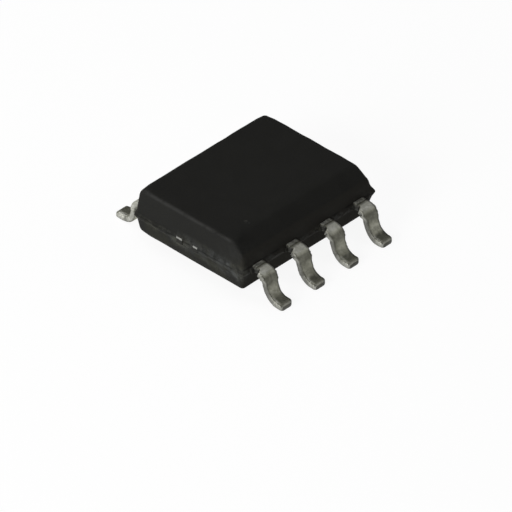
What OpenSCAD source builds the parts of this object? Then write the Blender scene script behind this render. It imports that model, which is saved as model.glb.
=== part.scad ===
// Operational amplifier in an eight-lead small-outline package, in millimetres.
// X runs along the rows of leads, Y across them and Z up from the seating plane.
// Lead 1 is at the low X end of the low Y row, and the numbers run on anticlockwise seen from above.

/* [Moulded body] */
// Length of the body at the parting line
body_l = 4.90; // [4.7:0.05:5.1]
// Width of the body at the parting line
body_w = 3.90; // [3.8:0.05:4.0]
// Thickness of the body, from underside to top face
body_t = 1.40; // [1.3:0.05:1.45]
// Height of the underside above the seating plane
standoff = 0.235; // [0.1:0.005:0.25]
// Draft angle of the sides above the lead frame
draft_upper = 7.5; // [5:0.5:8]
// Draft angle of the sides below the lead frame
draft_lower = 9; // [5:0.5:10]
// Corner radius in plan at the parting line
corner_r = 0.18; // [0.17:0.01:0.4]
// Radius along the top and bottom edges
edge_r = 0.08; // [0.03:0.005:0.09]
// Width of the lead 1 bevel, across the top face
bevel_w = 0.50; // [0.25:0.01:0.6]
// Height of the lead 1 bevel, down the side
bevel_h = 0.34; // [0.2:0.01:0.4]
// How far the ledge at the parting line stands out
ledge = 0.06; // [0.02:0.01:0.1]
// Thickness of the ledge at its outer edge
ledge_tip_t = 0.10; // [0.05:0.01:0.14]

/* [Leads] */
// Distance between neighbouring leads
pitch = 1.27; // [1.2:0.01:1.3]
// Width over the toes of both rows
span = 6.04; // [5.8:0.01:6.2]
// Width of a lead
lead_w = 0.43; // [0.31:0.01:0.51]
// Thickness of the lead frame
lead_t = 0.19; // [0.15:0.01:0.25]
// Height of the lead frame's lower face above the body's underside
frame_rise = 0.52; // [0.45:0.01:0.55]
// Straight stretch of a lead between the body and its first bend
root = 0.14; // [0.1:0.01:0.2]
// Radius of the first bend, at the middle of the thickness
bend_r = 0.31; // [0.29:0.01:0.34]
// Radius of the second bend, at the middle of the thickness
heel_r = 0.43; // [0.3:0.01:0.45]
// Slope of the leg between the two bends, from level
leg_angle = 70; // [65:1:80]
// How far the cut dam bar stands out beside a lead
dam_stub = 0.05; // [0.02:0.01:0.1]
// Width of the dam bar, along the lead
dam_w = 0.34; // [0.2:0.01:0.36]

/* [Lead frame inside] */
// Length of the die paddle
paddle_l = 3.00; // [2.4:0.1:3.4]
// Width of the die paddle
paddle_w = 2.20; // [1.8:0.05:2.4]
// How far the paddle is set down below the leads
downset = 0.20; // [0.1:0.01:0.25]
// Gap in plan between the paddle and the inner ends of the leads
frame_gap = 0.20; // [0.15:0.01:0.25]
// Distance between the inner ends of neighbouring leads
tip_pitch = 1.05; // [0.95:0.01:1.15]
// Width of a lead's inner end
tip_w = 0.65; // [0.5:0.01:0.7]
// Length of the wide stretch at a lead's inner end
tip_l = 0.20; // [0.15:0.01:0.22]
// Straight stretch of a lead inside the body's wall
neck_l = 0.20; // [0.15:0.01:0.22]
// Width of a tie bar
tie_w = 0.20; // [0.15:0.01:0.3]
// Distance between the two tie bars at one end
tie_pitch = 0.55; // [0.45:0.01:0.8]
// Level stretch of a tie bar inside the body
tie_flat = 0.45; // [0.3:0.01:0.5]
// How far a cut tie bar stands out of the ledge
tie_proud = 0.02; // [0.01:0.01:0.05]

/* [Chip] */
// Length of the die
die_l = 1.50; // [1.3:0.05:1.8]
// Width of the die
die_w = 1.30; // [1.0:0.05:1.5]
// Thickness of the die
die_t = 0.25; // [0.2:0.01:0.3]
// Thickness of the adhesive under the die
attach_t = 0.025; // [0.015:0.005:0.04]
// How far the adhesive spreads past the die
attach_margin = 0.06; // [0.03:0.01:0.1]
// Distance between neighbouring bond pads
pad_pitch = 0.37; // [0.3:0.01:0.4]
// Distance of the bond pads from the die's edge
pad_inset = 0.10; // [0.08:0.01:0.15]

/* [Bond wires] */
// Diameter of a wire
wire_d = 0.030; // [0.02:0.005:0.035]
// Diameter of the ball at the die
ball_d = 0.080; // [0.06:0.005:0.1]
// Height of the ball at the die
ball_t = 0.030; // [0.02:0.005:0.04]
// Straight rise of a wire above its ball
loop_rise = 0.060; // [0.03:0.01:0.1]
// Radius of the wire's loop
loop_r = 0.090; // [0.06:0.01:0.12]
// Diameter of the stitch at the lead
stitch_d = 0.100; // [0.08:0.005:0.12]
// Height of the stitch at the lead
stitch_t = 0.018; // [0.01:0.001:0.025]
// Distance of the stitch from the lead's inner edge
stitch_inset = 0.10; // [0.07:0.01:0.12]

/* [Hidden] */

// Leads in one row and in all
row = 4;
leads = 2 * row;
// Straight steps in the rounded edge of the moulding
edge_steps = 5;
// Sides of the round pieces
$fn = 48;
// How far a cutting shape runs past what it cuts
over = 0.5;

// Levels, from the seating plane up
body_low = standoff;
body_top = standoff + body_t;
frame_low = body_low + frame_rise;
frame_top = frame_low + lead_t;
paddle_low = frame_low - downset;
paddle_top = paddle_low + lead_t;
die_low = paddle_top + attach_t;
die_top = die_low + die_t;

// Middles of the body's four corner arcs
corner_x = body_l / 2 - corner_r;
corner_y = body_w / 2 - corner_r;
// How far the top face and the underside draw in from the parting line
top_in = (body_top - frame_top) * tan(draft_upper);
low_in = frame_rise * tan(draft_lower);

// Places along a lead, measured across the body from its middle
tip_y = paddle_w / 2 + frame_gap;
flare_y = tip_y + tip_l;
neck_y = body_w / 2 - neck_l;
bend_y = body_w / 2 + root;
// Straight length of the leg, and of the foot after the second bend
leg_l = (frame_low - (bend_r + heel_r) * (1 - cos(leg_angle))) / sin(leg_angle);
foot_l = span / 2 - bend_y - (bend_r + heel_r) * sin(leg_angle) - leg_l * cos(leg_angle);
// Part of the first bend that carries the dam bar's stubs
dam_angle = round_angle(dam_w / bend_r * 180 / PI);

mould_black = [0.13, 0.13, 0.12];
tin_grey = [0.62, 0.62, 0.59];
frame_silver = [0.70, 0.70, 0.68];
adhesive_grey = [0.55, 0.55, 0.52];
silicon_grey = [0.33, 0.35, 0.40];
gold_yellow = [0.90, 0.70, 0.30];

// An angle to the nearest hundredth of a degree
function round_angle(a) = round(a * 100) / 100;
// Place of lead n in its row, counted from the low X end
function slot(n) = n <= row ? n - 1 : leads - n;
// Side of the body that lead n is on
function side(n) = n <= row ? -1 : 1;
// X of the middle of place s in a row of places a given step apart
function place(s, step) = (s - (row - 1) / 2) * step;
// Points of an arc about [x, z] from angle a to angle b
function arc(x, z, r, a, b) =
    [for (i = [0:edge_steps]) let (t = a + (b - a) * i / edge_steps) [x + r * cos(t), z + r * sin(t)]];
// The right side of an outline, from bottom to top, and its mirror image
function both_sides(right) =
    let (last = len(right) - 1)
    concat(right, [for (i = [0:last]) [-right[last - i][0], right[last - i][1]]]);
// Distance from a drafted corner back to the middle of the arc that rounds it
function round_in(draft) = edge_r * (1 - sin(draft)) / cos(draft);

// Side of the moulding from underside to top, as [distance out from the corner middles, height]
function side_line() = concat(
    arc(corner_r - low_in - round_in(draft_lower), body_low + edge_r, edge_r, -90, -draft_lower),
    [[corner_r, frame_low],
     [corner_r + ledge, frame_low + (lead_t - ledge_tip_t) / 2],
     [corner_r + ledge, frame_top - (lead_t - ledge_tip_t) / 2],
     [corner_r, frame_top]],
    arc(corner_r - top_in - round_in(draft_upper), body_top - edge_r, edge_r, draft_upper, 90));

// Section from the corner middles out to the side
module side_section() {
    polygon(concat([[0, body_low]], side_line(), [[0, body_top]]));
}

// The outer form: the side carried round a rectangle with round corners
module mould_form() {
    right = [for (p = side_line()) [corner_x + p[0], p[1]]];
    rotate([90, 0, 0])
        linear_extrude(2 * corner_y, center = true)
            polygon(both_sides(right));
    for (turn = [0, 180])
        rotate([0, 0, turn])
            translate([0, corner_y, 0])
                rotate([90, 0, 90])
                    linear_extrude(2 * corner_x, center = true)
                        side_section();
    for (sx = [-1, 1], sy = [-1, 1])
        translate([sx * corner_x, sy * corner_y, 0])
            rotate([0, 0, sy > 0 ? (sx > 0 ? 0 : 90) : (sx > 0 ? 270 : 180)])
                rotate_extrude(angle = 90)
                    side_section();
}

// The wedge taken off the top edge beside leads 1 to 4
module bevel_cut() {
    top_y = -(body_w / 2 - top_in);
    low_z = body_top - bevel_h;
    low_y = top_y - bevel_h * tan(draft_upper);
    rotate([90, 0, 90])
        linear_extrude(body_l + 2 * over, center = true)
            polygon([[top_y + bevel_w, body_top], [low_y, low_z], [low_y - over, low_z],
                     [low_y - over, body_top + over], [top_y + bevel_w, body_top + over]]);
}

// Everything that the resin flows round
module frame_and_chip() {
    for (n = [1:leads]) lead(n);
    die_paddle();
    die_attach();
    silicon_die();
    for (n = [1:leads]) bond_wire(n);
}

module package_body() {
    color(mould_black)
        difference() {
            mould_form();
            bevel_cut();
            frame_and_chip();
        }
}

// A level length of strip, with what follows it at its far end
module strip(length, width) {
    translate([-width / 2, 0, -lead_t / 2])
        cube([width, length, lead_t]);
    translate([0, length, 0])
        children();
}

// A stretch of strip bent down by an angle to a radius, with what follows it at its far end
module bend(angle, r, width) {
    translate([0, 0, -r]) {
        rotate([0, -90, 0])
            rotate_extrude(angle = angle)
                translate([r - lead_t / 2, -width / 2])
                    square([lead_t, width]);
        rotate([-angle, 0, 0])
            translate([0, 0, r])
                children();
    }
}

// The flat part of a lead: wide inner end, flare, neck through the wall and straight root
module lead_plate(tip_x) {
    translate([0, 0, frame_low])
        linear_extrude(lead_t)
            polygon([[lead_w / 2, bend_y], [lead_w / 2, neck_y],
                     [tip_x + tip_w / 2, flare_y], [tip_x + tip_w / 2, tip_y],
                     [tip_x - tip_w / 2, tip_y], [tip_x - tip_w / 2, flare_y],
                     [-lead_w / 2, neck_y], [-lead_w / 2, bend_y]]);
}

// The formed part of a lead: stubs and first bend, leg, second bend and foot
module lead_form() {
    translate([0, bend_y, frame_low + lead_t / 2])
        bend(dam_angle, bend_r, lead_w + 2 * dam_stub)
            bend(leg_angle - dam_angle, bend_r, lead_w)
                strip(leg_l, lead_w)
                    mirror([0, 0, 1])
                        bend(leg_angle, heel_r, lead_w)
                            strip(foot_l, lead_w);
}

module lead(n) {
    lead_x = place(slot(n), pitch);
    tip_x = place(slot(n), tip_pitch) - lead_x;
    color(tin_grey)
        translate([lead_x, 0, 0])
            mirror([0, side(n) < 0 ? 1 : 0, 0]) {
                lead_plate(tip_x);
                lead_form();
            }
}

// The paddle and its tie bars, each drawn from the side and given its width.
// A tie bar is level at the body's end and slopes down to the paddle.
module die_paddle() {
    end_x = body_l / 2 + ledge + tie_proud;
    knee_x = body_l / 2 - tie_flat;
    paddle_x = paddle_l / 2;
    plate_side = [[paddle_x, paddle_low], [paddle_x, paddle_top]];
    tie_side = [[paddle_x, paddle_low], [knee_x, frame_low], [end_x, frame_low],
                [end_x, frame_top], [knee_x, frame_top], [paddle_x, paddle_top]];
    color(frame_silver)
        rotate([90, 0, 0]) {
            linear_extrude(paddle_w, center = true)
                polygon(both_sides(plate_side));
            for (s = [-1, 1])
                translate([0, 0, s * tie_pitch / 2])
                    linear_extrude(tie_w, center = true)
                        polygon(both_sides(tie_side));
        }
}

module die_attach() {
    attach_l = die_l + 2 * attach_margin;
    attach_w = die_w + 2 * attach_margin;
    color(adhesive_grey)
        translate([-attach_l / 2, -attach_w / 2, paddle_top])
            cube([attach_l, attach_w, attach_t]);
}

module silicon_die() {
    color(silicon_grey)
        translate([-die_l / 2, -die_w / 2, die_low])
            cube([die_l, die_w, die_t]);
}

// One wire in its own upright plane: ball, rise, loop, slope and stitch.
// The slope is the tangent to the loop's circle from where the wire comes to lie on the lead.
module wire(reach, drop) {
    loop_z = ball_t + loop_rise;
    far = [reach - loop_r, wire_d / 2 - drop - loop_z];
    far_l = norm(far);
    leave = round_angle(atan2(far[1], far[0]) + acos(loop_r / far_l));
    slope_l = sqrt(far_l * far_l - loop_r * loop_r);
    cylinder(h = ball_t, d = ball_d);
    translate([0, 0, ball_t])
        cylinder(h = loop_rise, d = wire_d);
    translate([loop_r, 0, loop_z])
        rotate([90, 0, 0])
            rotate([0, 0, leave]) {
                rotate_extrude(angle = 180 - leave)
                    translate([loop_r, 0])
                        circle(d = wire_d);
                translate([loop_r, 0, 0])
                    rotate([90, 0, 0])
                        cylinder(h = slope_l, d = wire_d);
            }
    translate([reach, 0, -drop])
        cylinder(h = stitch_t, d = stitch_d);
}

module bond_wire(n) {
    pad = [place(slot(n), pad_pitch), side(n) * (die_w / 2 - pad_inset)];
    stitch = [place(slot(n), tip_pitch), side(n) * (tip_y + stitch_inset)];
    run = stitch - pad;
    color(gold_yellow)
        translate([pad[0], pad[1], die_top])
            rotate([0, 0, atan2(run[1], run[0])])
                wire(norm(run), die_top - frame_top);
}

package_body();
for (n = [1:leads]) lead(n);
die_paddle();
die_attach();
silicon_die();
for (n = [1:leads]) bond_wire(n);
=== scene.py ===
"""Dresses the eight-lead amplifier: its moulded body, its formed leads and the finish of every surface.

Shapes are worked out in millimetres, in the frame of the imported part, and go into the meshes in metres.
"""
import math

import bpy
import numpy as np
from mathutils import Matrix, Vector


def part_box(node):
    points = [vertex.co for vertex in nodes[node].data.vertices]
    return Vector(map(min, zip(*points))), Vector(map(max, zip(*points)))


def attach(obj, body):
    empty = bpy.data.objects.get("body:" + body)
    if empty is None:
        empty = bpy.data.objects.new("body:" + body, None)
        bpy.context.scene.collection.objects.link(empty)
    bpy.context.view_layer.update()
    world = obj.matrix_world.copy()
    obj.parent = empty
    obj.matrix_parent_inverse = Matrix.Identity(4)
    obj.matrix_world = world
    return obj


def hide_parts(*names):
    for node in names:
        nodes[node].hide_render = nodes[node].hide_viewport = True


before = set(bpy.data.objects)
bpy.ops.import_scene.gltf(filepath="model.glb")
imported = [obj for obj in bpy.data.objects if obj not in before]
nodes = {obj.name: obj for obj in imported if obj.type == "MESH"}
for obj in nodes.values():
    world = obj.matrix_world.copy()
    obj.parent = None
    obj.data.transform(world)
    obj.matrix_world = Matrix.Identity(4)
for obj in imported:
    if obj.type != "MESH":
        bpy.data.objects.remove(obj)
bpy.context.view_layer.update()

MM = 0.001
ROW = 4
LEADS = 2 * ROW
SIDES = (-1, 1)
QUARTER = math.pi / 2


def corners(name):
    """Lowest and highest corner of a node, in millimetres."""
    low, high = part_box(name)
    return np.array(low) / MM, np.array(high) / MM


BODY_LOW, BODY_HIGH = corners("package_body")
LEAD_LOW, LEAD_HIGH = corners("lead_1")

# Moulding: drafted sides that meet in a ledge at the lead frame
LEDGE = 0.06
CORNER_R = 0.09
DRAFT_UPPER = math.radians(6.3)
DRAFT_LOWER = math.radians(8.5)
BEVEL_W = 0.46
BEVEL_H = 0.34
HALF_L = BODY_HIGH[0] - LEDGE
HALF_W = BODY_HIGH[1] - LEDGE
UNDERSIDE = BODY_LOW[2]
TOP = BODY_HIGH[2]

# Lead frame: the strip, the places along a lead and the tie bars
LEAD_T = 0.19
LEAD_W = 0.43
PITCH = 1.27
ROOT = 0.14
TIP_PITCH = 1.05
TIP_W = 0.65
TIP_L = 0.20
NECK_L = 0.20
TIE_PITCH = 0.55
TIE_W = 0.20
FRAME_TOP = LEAD_HIGH[2]
FRAME_LOW = FRAME_TOP - LEAD_T
FRAME_MID = (FRAME_TOP + FRAME_LOW) / 2
TOE = -LEAD_LOW[1]
TIP = -LEAD_HIGH[1]

# Random waves: height, length of a step in millimetres, and seed; each edge of a lead adds to the seed
WAVES = {
    "ledge_middle": (0.03, 0.9, 3),
    "ledge_half": (0.02, 0.5, 4),
    "ledge_reach": (0.25, 0.35, 5),
    "ledge_fray": (0.12, 0.08, 6),
    "crease_gaps": (1.0, 0.25, 8),
    "wedge_edge": (0.02, 0.1, 11),
    "rags": (1.0, 0.16, 12),
    "top_edge": (0.12, 0.3, 21),
    "low_edge": (0.12, 0.5, 22),
    "lead_edge": (0.009, 0.13, 40),
    "lead_fray": (0.004, 0.05, 60),
    "torn_stub": (0.25, 0.03, 80),
}
WAVE_STEPS = 512
LATTICE_STEPS = 256
FINE_STEPS = 4000


def place(n, step):
    """X of lead n's place in its row, for places a given step apart."""
    along = n - 1 if n <= ROW else LEADS - n
    return (along - (ROW - 1) / 2) * step


# Arithmetic that the shapes share

def smooth(low, high, x):
    """Smooth step: 0 up to low, 1 from high on, and 3t^2 - 2t^3 between them."""
    t = np.clip((x - low) / (high - low), 0, 1)
    return t * t * (3 - 2 * t)


def hump(x, middle, reach):
    """Smooth rise from 0 at a reach away from the middle to 1 at the middle."""
    return 1 - smooth(0, reach, np.abs(x - middle))


def soft_min(a, b, width):
    """The lower of two heights, with the crease between them rounded over a width."""
    return (a + b - np.sqrt((a - b) ** 2 + width ** 2)) / 2


def wave(name, x, own=0):
    """One of the random waves along x: random heights a step apart, joined by smooth steps."""
    height, size, seed = WAVES[name]
    heights = np.random.default_rng(seed + own).uniform(-1, 1, WAVE_STEPS)
    cell = np.floor(x / size).astype(int)
    t = smooth(0, 1, x / size - cell)
    return height * (heights[cell % WAVE_STEPS] * (1 - t) + heights[(cell + 1) % WAVE_STEPS] * t)


def lattice(x, y, size_x, size_y, seed):
    """Value noise from -1 to 1 over x and y: random heights on a lattice, joined by smooth steps."""
    heights = np.random.default_rng(seed).uniform(-1, 1, (LATTICE_STEPS, LATTICE_STEPS))
    column = np.floor(x / size_x).astype(int)
    row = np.floor(y / size_y).astype(int)
    s = smooth(0, 1, x / size_x - column)
    t = smooth(0, 1, y / size_y - row)
    i, i_next = column % LATTICE_STEPS, (column + 1) % LATTICE_STEPS
    j, j_next = row % LATTICE_STEPS, (row + 1) % LATTICE_STEPS
    low = heights[i, j] * (1 - s) + heights[i_next, j] * s
    high = heights[i, j_next] * (1 - s) + heights[i_next, j_next] * s
    return low * (1 - t) + high * t


def rounded_run(along_x, along_y, turn_steps):
    """Once round a rounded rectangle, anticlockwise from the low end of its high X side.

    Gives the run as u and v, which say where the middle of the rounding is as a share of its largest X
    and Y, and the outward angle there. A side is u or v held at 1 or -1 with a steady angle, and a corner
    is both held with the angle turning by a quarter.
    """
    turn = np.linspace(0, QUARTER, turn_steps + 2)[1:-1]
    ones_x, ones_y, ones_t = np.ones_like(along_x), np.ones_like(along_y), np.ones_like(turn)
    u = np.concatenate([ones_y, ones_t, -along_x, -ones_t, -ones_y, -ones_t, along_x, ones_t])
    v = np.concatenate([along_y, ones_t, ones_x, ones_t, -along_y, -ones_t, -ones_x, -ones_t])
    parts = [(0 * along_y, turn), (0 * along_x, turn)] * 2
    angle = np.concatenate([k * QUARTER + part for k, pair in enumerate(parts) for part in pair])
    return u, v, angle


def crowded(count, low, high, middles, reach, extra):
    """Steps from low to high that lie closer together near some middles.

    The density is 1 plus a hump of a given height at each middle, and the steps share its integral evenly.
    """
    fine = np.linspace(low, high, FINE_STEPS)
    density = 1 + extra * np.max([hump(fine, m, reach) for m in middles], axis=0)
    total = np.concatenate([[0], np.cumsum((density[1:] + density[:-1]) / 2)])
    return np.interp(np.linspace(0, total[-1], count), total, fine)


def bezier(a, b, c, steps):
    """Points of the quadratic curve from a to c that leaves towards b, without its two ends."""
    t = np.linspace(0, 1, steps + 2)[1:-1].reshape((-1,) + (1,) * np.ndim(b))
    return (1 - t) ** 2 * a + 2 * t * (1 - t) * b + t ** 2 * c


def closed_grid(name, rows, first_pole, last_pole, **values):
    """A mesh from rings of points, one array [ring, step, xyz], closed round each ring and at both poles.

    Neighbouring rings are joined by quads and each end ring by triangles to its pole. Each value, one
    number a point as [ring, step], becomes an attribute with that name.
    """
    rings, steps = rows.shape[:2]
    points = np.concatenate([rows.reshape(-1, 3), [first_pole], [last_pole]]) * MM
    here = np.arange(steps)
    after = (here + 1) % steps
    base = (np.arange(rings - 1) * steps)[:, None]
    above = base + steps
    quads = np.stack([base + here, base + after, above + after, above + here], axis=-1).reshape(-1, 4)
    last = (rings - 1) * steps
    start_fan = np.stack([after, here, np.full(steps, rings * steps)], axis=-1)
    end_fan = np.stack([last + here, last + after, np.full(steps, rings * steps + 1)], axis=-1)
    mesh = bpy.data.meshes.new(name)
    mesh.from_pydata(points.tolist(), [], quads.tolist() + start_fan.tolist() + end_fan.tolist())
    for key, value in values.items():
        flat = np.concatenate([value.reshape(-1), [value[0].mean()], [value[-1].mean()]])
        mesh.attributes.new(key, "FLOAT", "POINT").data.foreach_set("value", flat.astype(np.float32))
    mesh.polygons.foreach_set("use_smooth", np.ones(len(mesh.polygons), dtype=bool))
    mesh.validate()
    mesh.update()
    made = bpy.data.objects.new(name, mesh)
    bpy.context.scene.collection.objects.link(made)
    return made


# Moulded body: its bevel, which narrows towards its worn ends, and its rounded edges
TAN_UPPER = math.tan(DRAFT_UPPER)
TAN_LOWER = math.tan(DRAFT_LOWER)
TOP_IN = (TOP - FRAME_TOP) * TAN_UPPER
BEVEL_FOOT = -(HALF_W - TOP_IN + BEVEL_H * TAN_UPPER)
BEVEL_RUN_OUT = {-1: 0.17, 1: 0.05}
RUN_OUT_FROM = HALF_L - 0.7
RUN_OUT_TO = HALF_L - 0.08
BEVEL_CREASE = 0.055
TOP_EDGE = 0.12
LOW_EDGE = 0.11
FAR_ROUNDER = 0.7
FAR_REACH = 0.4

# Ledge at the parting line: its lobe, the flakes on it, a mound round each tie bar, and a fin at a corner
LEDGE_BAND = (FRAME_LOW - 0.14, FRAME_TOP + 0.14)
FACE_MARGIN = 0.03
LOBE_DROP = 0.02
LOBE_HALF = 0.125
LOBE_REACH = 0.55
LOBE_POWER = 1.5
FLAKE_OUT = 0.012
FLAKE_L = 0.07
FLAKE_H = 0.04
FLAKE_SEED = 7
FLAKE_RISE = (0.2, 0.9)
FLAKE_ROOT = (0.0, 0.5)
MOUND_OUT = 0.072
MOUND_W = 1.3 * TIE_W
MOUND_H = 0.30
MOUND_RISE = (0.15, 0.75)
FIN_OUT = 0.085
FIN_HALF = 0.125
FIN_POWER = 1.7
FIN_INSET = 0.02
FIN_W = 0.40

# Resin at the lead roots: wedges on the flanks of the leads and rags between them, from none to full
WEDGE_OUT = ROOT - 0.035
WEDGE_SPREAD = (0.075, 0.01)
WEDGE_HALF = (0.075, 0.04)
WEDGE_DROP = 0.03
RAG_OUT = 0.075
RAG_HALF = (0.08, 0.02)
RAG_LIFT = 0.02
RAG_TORN = (0.0, 0.9)
ROW_END = 0.1

# Steps round the body and up it, how far and how much they crowd, and flat rows as shares of the way in
STEPS_X = 210
STEPS_Y = 110
CORNER_STEPS = 9
FLANK_CROWD = (0.16, 2.2)
TIE_CROWD = (0.3, 1.0)
LOWER_ROWS = 9
BAND_ROWS = 37
UPPER_ROWS = 15
LOW_ROUND = 6
TOP_ROUND = 7
UNDER_ROWS = (0.15, 0.4, 0.7, 0.9)
ROWS_TO_CREASE = (0.35, 0.65, 0.82, 0.92, 0.97, 1.0)
ROWS_PAST_CREASE = (0.012, 0.03, 0.06, 0.12, 0.25, 0.45, 0.7)
LEAST_WAY_IN = 0.012

# Masks for the finish: the rows of the top edge that carry a painted highlight, the flash, and the painted
# shade in the crease above it
HIGHLIGHT_ROW = 3
HIGHLIGHT_REACH = 3.6
FLASH_H = 0.2
FLASH_FULL = 0.03
CREASE_RISE = 0.085
CREASE_H = 0.035
CREASE_GAPS = (-0.7, 0.1)
END_FACE = (0.6, 0.9)


def bevel_line(x):
    """Where the bevel leaves the top face and how steep it is there; it narrows at its two worn ends."""
    start = -(HALF_W - TOP_IN) + BEVEL_W
    for side, narrower in BEVEL_RUN_OUT.items():
        start = start - narrower * smooth(RUN_OUT_FROM, RUN_OUT_TO, side * x)
    return start, BEVEL_H / (start - BEVEL_FOOT)


def cap_height(x, y):
    """Height of the top: the lower of the flat top and the bevel's slope, with a rounded crease."""
    start, steep = bevel_line(x)
    return soft_min(TOP, TOP + steep * (y - start), BEVEL_CREASE)


def side_in(z):
    """How far the drafted side lies inside the parting line at height z: nothing beside the lead frame."""
    return np.maximum(z - FRAME_TOP, 0) * TAN_UPPER + np.maximum(FRAME_LOW - z, 0) * TAN_LOWER


def ledge_out(z, x, y, run, corner_fin):
    """How far the ledge of resin at the parting line stands out of the side, at height z of each column.

    A lobe across the lead frame's thickness, 1 - q^2 to a power, with q the distance from its middle as a
    share of its half height. Its reach and middle wander along the run, it swells to a mound round each
    tie bar, and dry flakes roughen it. At one corner it is drawn out to a fin, the exponential of minus a
    power of the distance from its tip.
    """
    middle = FRAME_MID - LOBE_DROP + wave("ledge_middle", run)
    half = LOBE_HALF + wave("ledge_half", run)
    reach = LEDGE * (LOBE_REACH + wave("ledge_reach", run) + wave("ledge_fray", run))
    q = np.clip(np.abs(z - middle) / half, 0, 1)
    lobe = (1 - q ** 2) ** LOBE_POWER
    on_end = smooth(HALF_L - CORNER_R, HALF_L - FACE_MARGIN, np.abs(x))
    tie = np.max([hump(y, s * TIE_PITCH / 2, MOUND_W) for s in SIDES], axis=0) * on_end
    mound = MOUND_OUT * smooth(*MOUND_RISE, tie * hump(z, FRAME_MID, MOUND_H))
    dry = smooth(*FLAKE_RISE, lattice(run, z, FLAKE_L, FLAKE_H, FLAKE_SEED))
    flakes = FLAKE_OUT * dry * smooth(*FLAKE_ROOT, lobe)
    fin = np.exp(-(np.abs(z - FRAME_TOP) / FIN_HALF) ** FIN_POWER)
    return np.maximum(reach * lobe * (1 - corner_fin) + flakes, mound) + FIN_OUT * fin * corner_fin


def residue_out(z, x, y):
    """How far the resin left at the lead roots stands out of the long sides.

    Each flank of a lead has a wedge of it, a little lower than the lead's top, that thins away from the
    lead, and between the leads there are ragged flakes.
    """
    on_side = smooth(HALF_W - CORNER_R, HALF_W - FACE_MARGIN, np.abs(y))
    in_row = smooth(0, ROW_END, (ROW - 1) / 2 * PITCH + LEAD_W - np.abs(x))
    from_lead = np.abs(x / PITCH % 1 - 0.5) * PITCH - LEAD_W / 2
    wedge = smooth(*WEDGE_SPREAD, from_lead + wave("wedge_edge", x))
    wedge = wedge * smooth(*WEDGE_HALF, np.abs(z - FRAME_MID + WEDGE_DROP))
    rag = smooth(*RAG_TORN, wave("rags", x)) * smooth(*RAG_HALF, np.abs(z - FRAME_MID - RAG_LIFT))
    return np.maximum(WEDGE_OUT * wedge, RAG_OUT * rag) * on_side * in_row


def body_columns():
    """The columns once round the body, crowded at the flanks of the leads and at the tie bars."""
    lead_x = np.array([place(n, PITCH) for n in range(1, ROW + 1)])
    flanks = np.concatenate([lead_x - LEAD_W / 2, lead_x + LEAD_W / 2])
    ties = [s * TIE_PITCH / 2 for s in SIDES]
    along_x = crowded(STEPS_X, CORNER_R - HALF_L, HALF_L - CORNER_R, flanks, *FLANK_CROWD)
    along_y = crowded(STEPS_Y, CORNER_R - HALF_W, HALF_W - CORNER_R, ties, *TIE_CROWD)
    return rounded_run(along_x / (HALF_L - CORNER_R), along_y / (HALF_W - CORNER_R), CORNER_STEPS)


def top_rows(edge_row, start):
    """Rows from the top's edge in towards its middle, which crowd where they cross the bevel's crease."""
    edge_y = edge_row[:, 1]
    crossing = np.clip((edge_y - start) / np.minimum(edge_y, start), LEAST_WAY_IN, 1)
    before = np.array(ROWS_TO_CREASE)[:, None]
    after = np.array(ROWS_PAST_CREASE)[:, None]
    share = np.concatenate([before * crossing, crossing + after * (1 - crossing)])
    flat = edge_row[:, :2] * (1 - share[..., None])
    return np.concatenate([flat, cap_height(flat[..., 0], flat[..., 1])[..., None]], axis=-1)


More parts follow.
